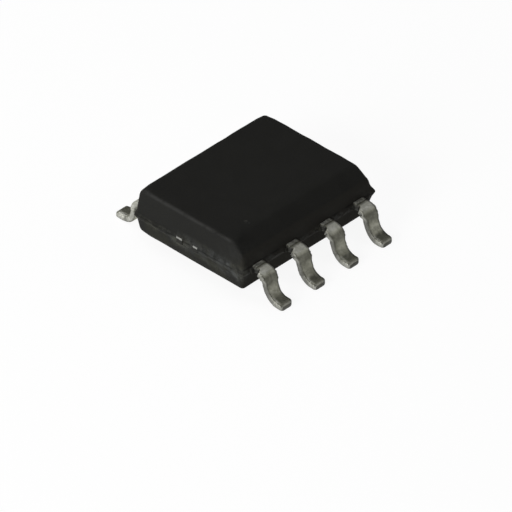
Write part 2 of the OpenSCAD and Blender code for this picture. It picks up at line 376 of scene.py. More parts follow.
def make_body():
    """The moulding as one closed grid of columns round it and rows up it.

    A row is a rounded rectangle, the parting line moved in by an inset with its corner radius kept. Going
    up a column, the inset follows the drafted lower side, the ledge and the drafted upper side. The top of
    a column is where the side meets the flat top or the bevel, whichever is lower, and quadratic curves
    round both edges. The flat rows then run in to one pole in the middle.
    """
    u, v, angle = body_columns()

    def plan(inset):
        """X and Y of the columns on the parting line moved in by an inset."""
        return np.stack([u * (HALF_L - CORNER_R - inset) + CORNER_R * np.cos(angle),
                         v * (HALF_W - CORNER_R - inset) + CORNER_R * np.sin(angle)], axis=-1)

    def edge(height, sign, tan_draft, size):
        """The three guide points of a rounded edge, as [inset, height]."""
        corner = side_in(height)
        slope = math.hypot(1, tan_draft)
        inner = corner + size
        level = cap_height(*plan(inner).T) if sign > 0 else height
        side = np.stack([corner - size * tan_draft / slope, height - sign * size / slope], axis=-1)
        return side, np.stack([corner, height], axis=-1), np.stack([inner, level], axis=-1)

    rim = plan(0 * u)
    run = np.cumsum(np.linalg.norm(rim - np.roll(rim, 1, axis=0), axis=1))
    x, y = rim.T
    corner_fin = hump(np.hypot(x - HALF_L + FIN_INSET, y + HALF_W - FIN_INSET), 0, FIN_W)

    # Top of each column, where its side meets the top face or the bevel
    start, steep = bevel_line(x)
    tilt = steep * np.clip(-v, 0, 1) * TAN_UPPER
    meet = (TOP + steep * (y - start) - tilt * FRAME_TOP) / (1 - tilt)
    high = soft_min(TOP, meet, BEVEL_CREASE / 2)
    rounder = FAR_ROUNDER * hump(np.hypot(np.abs(x) - HALF_L, y - HALF_W), 0, FAR_REACH)
    low_size = LOW_EDGE * (1 + rounder + wave("low_edge", run))
    top_size = TOP_EDGE * (1 + rounder + wave("top_edge", run))
    low_side, low_corner, low_flat = edge(np.full_like(x, UNDERSIDE), -1, TAN_LOWER, low_size)
    top_side, top_corner, top_flat = edge(high, 1, TAN_UPPER, top_size)

    # Rows up the side: lower draft, ledge band, upper draft
    band_low, band_high = LEDGE_BAND
    lower = np.linspace(0, 1, LOWER_ROWS)[:-1, None] * (band_low - low_side[:, 1]) + low_side[:, 1]
    band = np.linspace(band_low, band_high, BAND_ROWS)[:, None] + 0 * x
    upper = band_high + np.linspace(0, 1, UPPER_ROWS)[1:, None] * (top_side[:, 1] - band_high)
    z = np.concatenate([lower, band, upper])
    ledge = ledge_out(z, x, y, run, corner_fin)
    wall = np.stack([side_in(z) - np.maximum(ledge, residue_out(z, x, y)), z], axis=-1)
    rounds = np.concatenate([low_flat[None], bezier(low_flat, low_corner, low_side, LOW_ROUND), wall,
                             bezier(top_side, top_corner, top_flat, TOP_ROUND), top_flat[None]])
    side = np.concatenate([plan(rounds[..., 0]), rounds[..., 1:]], axis=-1)
    under = side[0] * np.array(UNDER_ROWS)[:, None, None]
    under[..., 2] = UNDERSIDE
    rows = np.concatenate([under, side, top_rows(side[-1], start)])

    # What the finish needs to know: the painted highlight on the end edges, the resin at the ledge and the
    # painted shade in the crease above it
    edge_highlight, flash, crease = np.zeros((3,) + rows.shape[:2])
    on_end = smooth(*END_FACE, np.abs(np.cos(angle)))
    first_wall = len(under) + 1 + LOW_ROUND
    walls = slice(first_wall, first_wall + len(wall))
    edges = slice(walls.stop, walls.stop + TOP_ROUND + 1)
    edge_highlight[edges] = hump(np.arange(TOP_ROUND + 1), HIGHLIGHT_ROW, HIGHLIGHT_REACH)[:, None] * on_end
    flash[walls] = hump(z, FRAME_MID, FLASH_H) * smooth(0.0, FLASH_FULL, ledge)
    line = FRAME_MID + CREASE_RISE * (1 - on_end) + wave("ledge_middle", run)
    # Painted shade in the crease above the ledge
    crease[walls] = hump(z, line, CREASE_H) * smooth(*CREASE_GAPS, wave("crease_gaps", run))
    body = closed_grid("moulded_body", rows, (0, 0, UNDERSIDE), (0, 0, TOP), edge=edge_highlight, flash=flash,
                       crease=crease)
    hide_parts("package_body")
    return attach(body, "root")


# Formed leads: bends of the rows that face -Y and Y, as two radii and the leg's angle, and rolled edges
INNER_L = HALF_W + ROOT - TIP
ROW_BENDS = {-1: (0.31, 0.43, math.radians(70)), 1: (0.24, 0.34, math.radians(76))}
ROLL_R = 0.052
TOE_R = 0.065
TOE_END = 0.97 * TOE_R
TOE_ROLL = 0.075
TOE_ROLL_L = 1.6 * TOE_ROLL

# Stubs of the dam bar on the two edges: where one begins past the inner length, its rise, end and waist
DAM_CUT = {1: (0.08, 0.05, 0.34, 0.035), -1: (0.02, 0.30, 0.46, 0.0)}
DAM_STUB = 0.05
DAM_FADE = (-0.08, 0.06)
WAIST_AT = 0.05
WAIST_REACH = 0.10

# Steps along a lead and round it, and where past the inner length they crowd, how far and how much
LEAD_STEPS = 170
CROWDED_AT = (0, 0.12, 0.34)
LEAD_CROWD = (0.07, 3.0)
FACE_STEPS = 11
FLANK_STEPS = 7
ROLL_STEPS = 3

# Painted light and shade along a lead, in millimetres from the body's side: on its faces and sheared sides
FACE_TONE = [(0.11, 2.3), (0.14, 0.65), (0.22, 2.6), (0.29, 2.4), (0.44, 0.76), (0.58, 0.62), (0.80, 1.32),
             (1.08, 1.05), (1.20, 0.95), (1.46, 0.92)]
SIDE_TONE = [(0.20, 0.22), (0.28, 1.10), (0.50, 1.18), (0.65, 0.74), (0.95, 0.62), (1.10, 0.86),
             (1.25, 1.22), (1.46, 1.12)]
FAR_SIDE_TONE = 1.5
UPWARD_TONE = 0.12

# On top of a foot: where it begins, its painted shade in the far row, and the painted highlight along its
# margin, across it and along it
FLAT = 0.99
FOOT_FROM = (1.0, 1.15)
FAR_FOOT_SHADE = 0.7
FAR_MARGIN_HIGHLIGHT = 1.6
FAR_MARGIN = (0.4, 0.85)
FAR_MARGIN_END = (1.48, 1.38)
NEAR_MARGIN_HIGHLIGHT = 1.9
NEAR_MARGIN = (0.68, 0.95)
NEAR_MARGIN_END = (1.46, 1.28)

# How much painted shade a lead has on its low X upper corner, more at the root and less on the foot, on its
# lower corners and on the end of its toe, and where the rim of the toe has a painted highlight
RIDGE_SHADE = 0.42
RIDGE_ROOT_SHADE = 0.3
RIDGE_ROOT = (0.3, 0.2)
RIDGE_FOOT_LESS_SHADE = 0.22
RIDGE_FOOT = (1.05, 1.2)
UNDER_CORNER_SHADE = 0.5
TOE_END_SHADE = 0.7
RIM_ROLL = (0.15, 0.6)
RIM_UP = (-0.2, 0.6)


def stretches(facing):
    """Lengths of a lead's first bend, leg, second bend and foot, for the row that faces one way."""
    bend_r, heel_r, angle = ROW_BENDS[facing]
    leg = (FRAME_LOW - (bend_r + heel_r) * (1 - math.cos(angle))) / math.sin(angle)
    foot = TOE - HALF_W - ROOT - (bend_r + heel_r) * math.sin(angle) - leg * math.cos(angle)
    return bend_r * angle, leg, heel_r * angle, foot


def lead_line(s, facing):
    """Middle line of a lead at distances s from its inner end, as distance out, height and slope.

    The slope is level, turns down by the leg's angle over the first bend, stays, and turns back over the
    second. Distance and height are the exact sums of the straight and round stretches.
    """
    bend_r, heel_r, angle = ROW_BENDS[facing]
    bend_l, leg_l, heel_l, foot_l = stretches(facing)
    past = s - INNER_L
    first = np.clip(past, 0, bend_l) / bend_r
    leg = np.clip(past - bend_l, 0, leg_l)
    second = np.clip(past - bend_l - leg_l, 0, heel_l) / heel_r
    foot = np.clip(past - bend_l - leg_l - heel_l, 0, foot_l)
    out = (TIP + np.minimum(s, INNER_L) + bend_r * np.sin(first) + leg * math.cos(angle)
           + heel_r * (math.sin(angle) - np.sin(angle - second)) + foot)
    height = (FRAME_MID - bend_r * (1 - np.cos(first)) - leg * math.sin(angle)
              - heel_r * (np.cos(angle - second) - math.cos(angle)))
    return out, height, first - second


def half_edge(s, length, n, side, tip_x):
    """Distance from the middle of lead n out to one of its edges, at distances s along it.

    The edge follows the wide inner end, the flare and the neck, then a cut stub of the dam bar and the
    round of the toe, with a little waviness outside the body.
    """
    inner = tip_x * side + TIP_W / 2
    marks = [0, TIP_L, INNER_L - ROOT - NECK_L, length]
    plain = np.interp(s, marks, [inner, inner, LEAD_W / 2, LEAD_W / 2])
    own = 2 * n + side
    wavy = wave("lead_edge", s, own) + wave("lead_fray", s, own)
    begin, rise, end, waist = DAM_CUT[side]
    stub = smooth(begin, begin + rise, s - INNER_L) * smooth(*DAM_FADE, INNER_L + end - s)
    torn = 1 + wave("torn_stub", s, own)
    resin = waist * hump(s, INNER_L + WAIST_AT, WAIST_REACH)
    toe_in = TOE_R - np.sqrt(TOE_R ** 2 - np.clip(s - length + TOE_R, 0, TOE_END) ** 2)
    return plain + np.where(s > INNER_L, wavy, 0) + DAM_STUB * stub * torn - resin - toe_in


def plate_tone(near_row, toward, v, shear, corner, along):
    """Painted light and shade on a lead: its tone along the faces and the sides, then feet and corners.

    The value toward runs across the lead, from -1 at its high X flank to 1 at its low one, and v runs up
    through it.
    """
    sheared = np.interp(along, *zip(*SIDE_TONE)) if near_row else FAR_SIDE_TONE
    # Painted light and shade: lighter and darker bands along the faces and sides, the far row's sides
    # brighter, and the sides paler towards the top
    tone = np.interp(along, *zip(*FACE_TONE)) * (1 - shear) + sheared * shear * (1 + UPWARD_TONE * v)
    on_foot = smooth(*FOOT_FROM, along) * np.where(v > FLAT, 1 - shear, 0)
    if near_row:
        # Painted shade on the low X upper corner
        ridge = np.where((toward > 0) & (v > 0), corner, 0)
        more = RIDGE_ROOT_SHADE * smooth(*RIDGE_ROOT, along)
        tone *= 1 - ridge * (RIDGE_SHADE + more - RIDGE_FOOT_LESS_SHADE * smooth(*RIDGE_FOOT, along))
        # Painted highlight along the low X margin of the foot's top
        margin = smooth(*NEAR_MARGIN, toward) * (1 - corner)
        tone += NEAR_MARGIN_HIGHLIGHT * on_foot * margin * smooth(*NEAR_MARGIN_END, along)
    else:
        # Painted shade on the foot's top, with a painted highlight along its low X margin
        margin = smooth(*FAR_MARGIN, toward) * smooth(*FAR_MARGIN_END, along)
        tone += on_foot * (FAR_FOOT_SHADE + FAR_MARGIN_HIGHLIGHT * margin - tone)
    # Painted shade on the lower corners
    return tone * (1 - UNDER_CORNER_SHADE * np.where(v < 0, corner, 0))


def make_lead(n):
    """One lead: a rounded strip section carried along the middle line, closed at both ends.

    The section reaches from one edge of the lead to the other, its corners are rolled by a small radius,
    and it thins from above at the toe.
    """
    near_row = n <= ROW
    facing = -1 if near_row else 1
    lead_x = place(n, PITCH)
    tip_x = (place(n, TIP_PITCH) - lead_x) * facing
    length = INNER_L + sum(stretches(facing))
    s = crowded(LEAD_STEPS, 0, length, [INNER_L + at for at in CROWDED_AT] + [length], *LEAD_CROWD)
    out, height, slope = lead_line(s, facing)
    left, right = [half_edge(s, length, n, side, tip_x) for side in SIDES]
    middle, half_w = (right - left) / 2, (right + left) / 2
    near_toe = np.clip(1 + (s - length) / TOE_ROLL_L, 0, 1)
    rolled = TOE_ROLL * (1 - np.sqrt(1 - near_toe ** 2))
    half_t = (LEAD_T - rolled) / 2

    u, v, angle = rounded_run(np.linspace(-1, 1, FACE_STEPS), np.linspace(-1, 1, FLANK_STEPS), ROLL_STEPS)
    across = middle[:, None] - u * (half_w - ROLL_R)[:, None] - ROLL_R * np.cos(angle)
    through = v * (half_t - ROLL_R)[:, None] + ROLL_R * np.sin(angle) - (rolled / 2)[:, None]
    x = lead_x + facing * across
    y = facing * (out[:, None] + through * np.sin(slope)[:, None])
    z = height[:, None] + through * np.cos(slope)[:, None]
    rows = np.stack([x, y, z], axis=-1)
    poles = rows[[0, -1]].mean(axis=1)

    # What the finish needs to know: sheared sides, place along the lead, painted light and shade, the
    # painted highlight on the toe's rim and the painted shade on the high X upper edge
    shear = np.abs(np.cos(angle)) ** 2 + 0 * x
    corner = np.abs(np.sin(2 * angle)) + 0 * x
    along = np.broadcast_to((s - INNER_L + ROOT)[:, None], x.shape)
    toward = facing * u
    end = (np.arange(len(s)) == len(s) - 1)[:, None]
    # Painted shade on the end of the toe
    tone = plate_tone(near_row, toward, v, shear, corner, along) * (1 - TOE_END_SHADE * end)
    # Painted highlight on the rolled rim of the toe
    rim = smooth(*RIM_ROLL, rolled / TOE_ROLL)[:, None] * smooth(*RIM_UP, v) * (1 - end) * near_row
    # Painted shade along the high X upper edge
    burr = np.where((toward < -FLAT) & (v > FLAT), 1, 0) + 0 * x
    lead = closed_grid(f"formed_lead_{n}", rows, *poles, shear=shear, along=along, tone=tone, rim=rim,
                       burr=burr)
    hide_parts(f"lead_{n}")
    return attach(lead, "root")


# Node trees: spans from 0 to 1 and back, and the places of a Mix node's colours among its sockets
WHOLE = (0.0, 1.0)
FADING = (1.0, 0.0)
MIX_A = 6
MIX_B = 7
MIX_RESULT = 2


def plug(tree, socket, value):
    """Links a socket to another one, or sets it to a constant."""
    if isinstance(value, bpy.types.NodeSocket):
        tree.links.new(value, socket)
    else:
        socket.default_value = value


def add(tree, kind, sockets=None, **settings):
    """A node with its settings; each of its sockets takes a constant or a link from another socket."""
    made = tree.nodes.new(kind)
    for key, value in settings.items():
        setattr(made, key, value)
    for key, value in (sockets or {}).items():
        plug(tree, made.inputs[key], value)
    return made


def calc(tree, operation, a, b=0.0):
    """The result of a sum on one or two values."""
    return add(tree, "ShaderNodeMath", {0: a, 1: b}, operation=operation).outputs[0]


def product(tree, first, *others):
    """All the values multiplied."""
    for other in others:
        first = calc(tree, "MULTIPLY", first, other)
    return first


def apart(tree, value, mark):
    """How far a value in metres lies from a mark in millimetres."""
    return calc(tree, "ABSOLUTE", calc(tree, "SUBTRACT", value, mark * MM))


def vector_calc(tree, operation, a, b):
    """What an operation makes of two vectors, or of a vector and the number that scales it."""
    second = "Scale" if operation == "SCALE" else 1
    return add(tree, "ShaderNodeVectorMath", {0: a, second: b}, operation=operation).outputs["Vector"]


def spread(tree, value, span, to=WHOLE, unit=1):
    """A value carried smoothly from a span, in some unit, to another one, and held at its ends."""
    sockets = {"Value": value, "From Min": span[0] * unit, "From Max": span[1] * unit,
               "To Min": to[0], "To Max": to[1]}
    return add(tree, "ShaderNodeMapRange", sockets, interpolation_type="SMOOTHSTEP").outputs["Result"]


def blend(tree, share, a, b):
    """Colour a with a share of colour b."""
    mix = add(tree, "ShaderNodeMix", {0: share, MIX_A: a, MIX_B: b}, data_type="RGBA")
    return mix.outputs[MIX_RESULT]


def layered(tree, base, *layers):
    """A base colour under layers, each given as its mask and its coat, which is a share and a colour."""
    for mask, (share, colour) in layers:
        base = blend(tree, product(tree, mask, share), base, colour)
    return base


def attribute(tree, name):
    """A value that the mesh holds at each point."""
    return add(tree, "ShaderNodeAttribute", attribute_name=name).outputs["Fac"]


def object_place(tree):
    """Place on the object, in metres in the frame of the part."""
    return add(tree, "ShaderNodeTexCoord").outputs["Object"]


def split(tree, vector):
    """The three axes of a vector, by name."""
    return add(tree, "ShaderNodeSeparateXYZ", {0: vector}).outputs


def cloudy(tree, vector, scale, **more):
    """A noise texture with lumps of one over the scale."""
    sockets = {"Vector": vector, "Scale": scale}
    sockets.update({key.capitalize(): value for key, value in more.items()})
    return add(tree, "ShaderNodeTexNoise", sockets).outputs


def blotches(tree, where, size, span, to=WHOLE, **more):
    """Cloudy noise with lumps of a size in millimetres, with a span of it carried to another one."""
    return spread(tree, cloudy(tree, where, 1 / (size * MM), **more)["Fac"], span, to)


def new_group(name, inputs, outputs):
    """An empty shader group with named sockets; gives its tree and its two end nodes."""
    tree = bpy.data.node_groups.new(name, "ShaderNodeTree")
    for key, kind in inputs.items():
        tree.interface.new_socket(key, in_out="INPUT", socket_type=kind)
    for key, kind in outputs.items():
        tree.interface.new_socket(key, in_out="OUTPUT", socket_type=kind)
    return tree, tree.nodes.new("NodeGroupInput"), tree.nodes.new("NodeGroupOutput")


def placed(tree, group, **sockets):
    """A group placed in a material, with its own values."""
    made = tree.nodes.new("ShaderNodeGroup")
    made.node_tree = group
    for key, value in sockets.items():
        plug(tree, made.inputs[key], value)
    return made.outputs


# Grain and patches that the finishes share: scale and shares of the noise, and the spans kept of it
FLOAT, VECTOR = "NodeSocketFloat", "NodeSocketVector"
COARSE_SCALE = 0.31
FINE_SHARE = 0.6
COARSE_SHARE = 0.4
SPECK_SPAN = (0.62, 0.78)
PATCH_SPAN = (0.36, 0.64)
PATCH_WARP = 0.6


def make_grain():
    """Fine grain of a surface: two sizes of noise added up, and the brightest points of the finer one."""
    tree, start, end = new_group("surface_grain", {"Place": VECTOR, "Fineness": FLOAT},
                                 {"Height": FLOAT, "Specks": FLOAT})
    where, fineness = start.outputs["Place"], start.outputs["Fineness"]
    fine = cloudy(tree, where, fineness, detail=3.0)["Fac"]
    coarse = cloudy(tree, where, product(tree, fineness, COARSE_SCALE), detail=2.0)["Fac"]
    height = calc(tree, "ADD", product(tree, fine, FINE_SHARE), product(tree, coarse, COARSE_SHARE))
    tree.links.new(height, end.inputs["Height"])
    tree.links.new(spread(tree, fine, SPECK_SPAN), end.inputs["Specks"])
    return tree


def make_patches():
    """Soft patches of handling and plating: warped cloudy noise with its contrast drawn out."""
    tree, start, end = new_group("soft_patches", {"Place": VECTOR, "Scale": FLOAT}, {"Mask": FLOAT})
    where, scale = start.outputs["Place"], start.outputs["Scale"]
    cloud = cloudy(tree, where, scale, detail=3.0, distortion=PATCH_WARP)["Fac"]
    tree.links.new(spread(tree, cloud, PATCH_SPAN), end.inputs["Mask"])
    return tree


GRAIN = make_grain()
PATCHES = make_patches()


def patches(tree, where, scale):
    """The mask of the soft patches at a scale."""
    return placed(tree, PATCHES, Place=where, Scale=scale)["Mask"]


def new_material(name):
    """A material with a bare Principled shader; gives its tree and the shader."""
    material = bpy.data.materials.new(name)
    material.use_nodes = True
    tree = material.node_tree
    tree.nodes.clear()
    shader = add(tree, "ShaderNodeBsdfPrincipled")
    surface = add(tree, "ShaderNodeOutputMaterial")
    tree.links.new(shader.outputs["BSDF"], surface.inputs["Surface"])
    return material, tree, shader


def feed(tree, shader, **sockets):
    """Links and constants for a shader, with spaces in socket names written as underscores."""
    for key, value in sockets.items():
        plug(tree, shader.inputs[key.replace("_", " ")], value)


def bump(tree, height, depth):
    """A normal from a height, with the depth of its full range in millimetres."""
    return add(tree, "ShaderNodeBump", {"Height": height, "Distance": depth * MM}).outputs["Normal"]


def near_point(tree, where, point, reach):
    """1 at a point in millimetres, falling to 0 at a reach from it."""
    sockets = {0: where, 1: tuple(c * MM for c in point)}
    distance = add(tree, "ShaderNodeVectorMath", sockets, operation="DISTANCE").outputs["Value"]
    return spread(tree, distance, (0.0, reach), FADING, unit=MM)


# Scuffs and painted light on the moulding: place and reach in millimetres, and strength; they are drawn out
# along the ledge
SMEAR = (0.8, 0.6, 1.3)
SCUFFS_AND_LIGHT = [
    ((-2.43, -1.11, 0.88), 0.15, 0.80),
    ((-2.43, -1.42, 0.87), 0.18, 0.95),
    ((-2.42, -1.70, 0.66), 0.34, 0.75),
    ((-2.45, -0.86, 0.90), 0.24, 0.50),
    ((-2.44, 0.35, 0.69), 0.32, 1.00),
    ((-2.44, 1.36, 0.73), 0.22, 0.50),
    ((-2.41, -1.11, 0.59), 0.26, 0.40),
    ((-2.42, -0.57, 0.61), 0.22, 0.40),
    ((-1.48, -1.13, TOP), 0.08, 0.60),
    ((-1.90, -1.93, 0.98), 0.50, 0.16),
    ((-2.40, -1.75, 1.20), 0.70, 0.10),
    ((-2.45, -1.90, 0.71), 0.16, 0.50),
    ((-2.44, 0.36, 0.93), 0.14, 0.35),
    ((-2.45, 0.11, 0.87), 0.16, 0.35),
    ((-2.44, -0.16, 0.97), 0.12, 0.25),
]
SMEARED = dict(size=0.20, detail=4.0, roughness=0.65, span=(0.36, 0.60), to=(0.15, 1.0))
SWIRL = 0.3
SWIRL_SCALE = 7000.0
NOISE_MEAN = (0.5, 0.5, 0.5)

# Dust rubbed into one end face, with painted light where its lower part faces the floor: its share, and how
# it fades along an axis over a span in millimetres
DUST_AND_LIGHT = 0.45
DUST_AND_LIGHT_FADES = [
    ("X", (-2.35, -2.20), FADING),
    ("Y", (0.0, 0.7), FADING),
    ("Z", (0.92, 1.14), FADING),
    ("Z", (0.70, 0.82), (0.45, 1.0)),
    ("Z", (0.45, 0.60), WHOLE),
]

# Mould compound: its grain, the breakup of the painted highlight on the edges, where the flash is flaky,
# where the long sides begin, and the painted shade on them under the lead frame
COMPOUND_GRAIN = 24000.0
COMPOUND_CLOUDS = 1300.0
COMPOUND_ROUGH = (0.67, 0.70)
COMPOUND_DEPTH = 0.006
RESIN_SHEEN = 0.08
SOIL_PATCHES = 3200.0
HIGHLIGHT_BREAKUP = dict(size=0.45, detail=4.0, roughness=0.7, span=(0.32, 0.60), to=(0.15, 1.0))
FLAKY = dict(size=0.14, detail=4.0, roughness=0.7, span=(0.46, 0.62))
FLASH_SHARES = (0.25, 0.38)
LONG_SIDE = (HALF_W - 0.15, HALF_W - 0.07)
LOW_SHADE_LEVEL = (FRAME_LOW + 0.05, FRAME_LOW - 0.05)
LOW_SHADE_START = (-2.45, -2.0)
LOW_SHADE_SHARES = (0.3, 1.0)

# Its colours, and coats on it as share and colour
COMPOUND = (0.0176, 0.0176, 0.0160, 1)
CLOUD_COAT = (0.5, (0.0206, 0.0206, 0.0188, 1))
SPECK_COAT = (0.35, (0.034, 0.034, 0.032, 1))
SOIL_COAT = (0.8, (0.0265, 0.0265, 0.0205, 1))
# Painted light: the long sides lighter and warmer than the top and ends
SIDE_LIGHT_COAT = (0.8, (0.0250, 0.0236, 0.0200, 1))
LOW_SIDE_SHADE_COAT = (0.85, (0.0055, 0.0048, 0.0010, 1))
EDGE_HIGHLIGHT_COAT = (0.95, (0.040, 0.040, 0.038, 1))
CREASE_SHADE_COAT = (0.65, (0.005, 0.005, 0.005, 1))
PALE_MARK_GREY = (0.086, 0.090, 0.088, 1)
PALE_MARK_OLIVE = (0.095, 0.095, 0.070, 1)


def pale_marks(tree, where, axes, marks):
    """Where the moulding is pale with dust and painted light: the marks given, the scuffs and the pale end
    face.
    """
    smeared = blotches(tree, where, **SMEARED)
    swirl = cloudy(tree, where, SWIRL_SCALE, detail=2.0)["Color"]
    swirl = vector_calc(tree, "SUBTRACT", swirl, NOISE_MEAN)
    astray = vector_calc(tree, "ADD", where, vector_calc(tree, "SCALE", swirl, SWIRL * MM))
    drawn = vector_calc(tree, "MULTIPLY", astray, SMEAR)
    for point, reach, share in SCUFFS_AND_LIGHT:
        middle = [c * k for c, k in zip(point, SMEAR)]
        mark = product(tree, near_point(tree, drawn, middle, reach), smeared, share)
        marks = calc(tree, "MAXIMUM", marks, mark)
    dust_and_light = product(tree, smeared, DUST_AND_LIGHT)
    for axis, span, to in DUST_AND_LIGHT_FADES:
        dust_and_light = product(tree, dust_and_light, spread(tree, axes[axis], span, to, unit=MM))
    return calc(tree, "MAXIMUM", marks, dust_and_light)


def mould_finish():
    """Black mould compound: matte and fine-grained, with pale flakes and dust, painted highlights on the
    end edges and the ledge, painted light on the long sides, and painted shade in the crease and low on the
    long sides.
    """
    material, tree, shader = new_material("mould_compound")
    where = object_place(tree)
    axes = split(tree, where)
    grain = placed(tree, GRAIN, Place=where, Fineness=COMPOUND_GRAIN)
    cloud = patches(tree, where, COMPOUND_CLOUDS)
    # Painted highlight along the rounded top edges of the ends, broken up by noise
    edge_highlight = product(tree, attribute(tree, "edge"), blotches(tree, where, **HIGHLIGHT_BREAKUP))
    low_down = spread(tree, axes["Z"], (FRAME_TOP, FRAME_LOW), unit=MM)
    soil = product(tree, patches(tree, where, SOIL_PATCHES), low_down)
    long_side = spread(tree, calc(tree, "ABSOLUTE", axes["Y"]), LONG_SIDE, unit=MM)
    # Painted shade low on the long sides, under the lead frame, weaker towards the low X end
    low_side_shade = product(tree, long_side, spread(tree, axes["Z"], LOW_SHADE_LEVEL, unit=MM),
                    spread(tree, axes["X"], LOW_SHADE_START, LOW_SHADE_SHARES, unit=MM))
    # Pale flakes on the ledge: partly broken flash, partly a painted highlight where the ledge top catches
    # light, more on the long sides
    torn = product(tree, attribute(tree, "flash"), blotches(tree, where, **FLAKY),
                   spread(tree, long_side, WHOLE, FLASH_SHARES))
    base = layered(tree, COMPOUND, (cloud, CLOUD_COAT), (grain["Specks"], SPECK_COAT), (soil, SOIL_COAT),
                   (long_side, SIDE_LIGHT_COAT), (low_side_shade, LOW_SIDE_SHADE_COAT), (edge_highlight, EDGE_HIGHLIGHT_COAT))
    # Pale marks: dust and scuffs, with painted light on the lower end face and below the tie bars
    dust_and_light_marks = pale_marks(tree, where, axes, torn)
    base = blend(tree, dust_and_light_marks, base, blend(tree, cloud, PALE_MARK_GREY, PALE_MARK_OLIVE))
    # Painted shade in the crease above the ledge
    base = layered(tree, base, (attribute(tree, "crease"), CREASE_SHADE_COAT))
    feed(tree, shader, Base_Color=base, Roughness=spread(tree, cloud, WHOLE, COMPOUND_ROUGH),
         Specular_IOR_Level=RESIN_SHEEN, Normal=bump(tree, grain["Height"], COMPOUND_DEPTH))
    return material


# Tin plate: its grain, the streaks of the sheared sides, resin and painted shade at the root, and dark
# blotches at the heel, with their spans along a lead in millimetres
TIN_GRAIN = 30000.0
TIN_PATCHES = 5200.0
TIN_CLOUDS = 12000.0
TIN_ROUGH = (0.58, 0.50)
TIN_DEPTH = 0.004
STREAK_SCALE = 30.0
STREAK_LINE = 0.3
STREAK_SPAN = (0.4, 0.65)
UNTINTED_FROM_LIGHT = (1.0, 2.2)
AT_ROOT = (0.17, 0.12)
ROOT_RESIN_AND_SHADE = dict(size=0.10, detail=3.0, span=(0.42, 0.60))
HEEL_FROM = (1.05, 1.15)
HEEL_TO = (1.30, 1.18)
HEEL_BLOTCHES = dict(size=0.16, detail=3.0, span=(0.44, 0.58))

# Its colours, and coats on it as share and colour
TIN = (0.26, 0.26, 0.232, 1)
TIN_PALE = (0.35, 0.35, 0.32, 1)
DULL_COAT = (0.3, (0.20, 0.20, 0.17, 1))
STREAK_COAT = (0.35, (0.22, 0.22, 0.20, 1))
GLINT_COAT = (0.4, (0.50, 0.50, 0.48, 1))
OLIVE_TINT = (1, 0.995, 0.90, 1)
NO_TINT = (1, 1, 1, 1)
# Painted shade on the high X upper edge
HIGH_EDGE_SHADE_COAT = (0.6, (0.05, 0.05, 0.045, 1))
ROOT_RESIN_AND_SHADE_COAT = (0.5, (0.03, 0.03, 0.027, 1))
HEEL_COAT = (0.45, (0.06, 0.06, 0.05, 1))
# Painted highlight on the toe's rim
RIM_HIGHLIGHT_COAT = (0.35, (0.45, 0.45, 0.42, 1))


def lead_finish():
    """Matte tin plate: patchy olive grey, streaked and untinted on sheared sides, scaled by painted light
    and shade, with resin and painted shade at the root and dark blotches at the heel.
    """
    material, tree, shader = new_material("tin_plate")
    where = object_place(tree)
    grain = placed(tree, GRAIN, Place=where, Fineness=TIN_GRAIN)
    patch = patches(tree, where, TIN_PATCHES)
    cloud = patches(tree, where, TIN_CLOUDS)
    names = ("shear", "along", "tone", "rim", "burr")
    shear, along, tone, rim, burr = [attribute(tree, name) for name in names]
    down = add(tree, "ShaderNodeCombineXYZ", {"X": along, "Y": STREAK_LINE}).outputs["Vector"]
    streak = cloudy(tree, down, STREAK_SCALE, detail=3.0)["Fac"]
    streaks = product(tree, spread(tree, streak, STREAK_SPAN), shear)
    base = layered(tree, blend(tree, patch, TIN, TIN_PALE), (cloud, DULL_COAT), (streaks, STREAK_COAT),
                   (grain["Specks"], GLINT_COAT))
    # The olive tint is lifted on sheared sides and where the painted light is brightest, then the painted
    # light and shade scale the colour
    untinted = calc(tree, "MAXIMUM", spread(tree, tone, UNTINTED_FROM_LIGHT), shear)
    base = vector_calc(tree, "MULTIPLY", base, blend(tree, untinted, OLIVE_TINT, NO_TINT))
    base = vector_calc(tree, "SCALE", base, tone)
    # Resin and painted shade in the groove at the root
    root = product(tree, spread(tree, along, AT_ROOT), blotches(tree, where, **ROOT_RESIN_AND_SHADE))
    # Dark blotches at the heel
    heel = product(tree, blotches(tree, where, **HEEL_BLOTCHES),
                   product(tree, spread(tree, along, HEEL_FROM), spread(tree, along, HEEL_TO)))
    base = layered(tree, base, (burr, HIGH_EDGE_SHADE_COAT), (root, ROOT_RESIN_AND_SHADE_COAT), (heel, HEEL_COAT), (rim, RIM_HIGHLIGHT_COAT))
    feed(tree, shader, Base_Color=base, Metallic=1.0, Roughness=spread(tree, patch, WHOLE, TIN_ROUGH),
         Normal=bump(tree, grain["Height"], TIN_DEPTH))
    return material


# Lead frame metal: its grain, and on the cut ends of the tie bars the bare strip and the resin round it,
# which also runs over one flank
FRAME_GRAIN = 26000.0
FRAME_PATCHES = 9000.0
FRAME_ROUGH = (0.45, 0.70)
FRAME_DEPTH = 0.005
END_FROM = HALF_L + LEDGE / 2
STRIP_MID = FRAME_MID + 0.065
STRIP_HALF = 0.042
RAGGED_SIZE = 0.09
RESIN_FLANK = -0.17
FLANK_REACH = (0.03, 0.08)
FLANK_RESIN = (0.8, 0.0)
RESIN_FROM = (1.0, 1.5)

# Its colour, and coats on it as share and colour
FRAME_PALE = (0.36, 0.36, 0.34, 1)
SMUDGE_COAT = (0.4, (0.24, 0.24, 0.22, 1))
RESIN_COAT = (1.0, (0.032, 0.032, 0.029, 1))


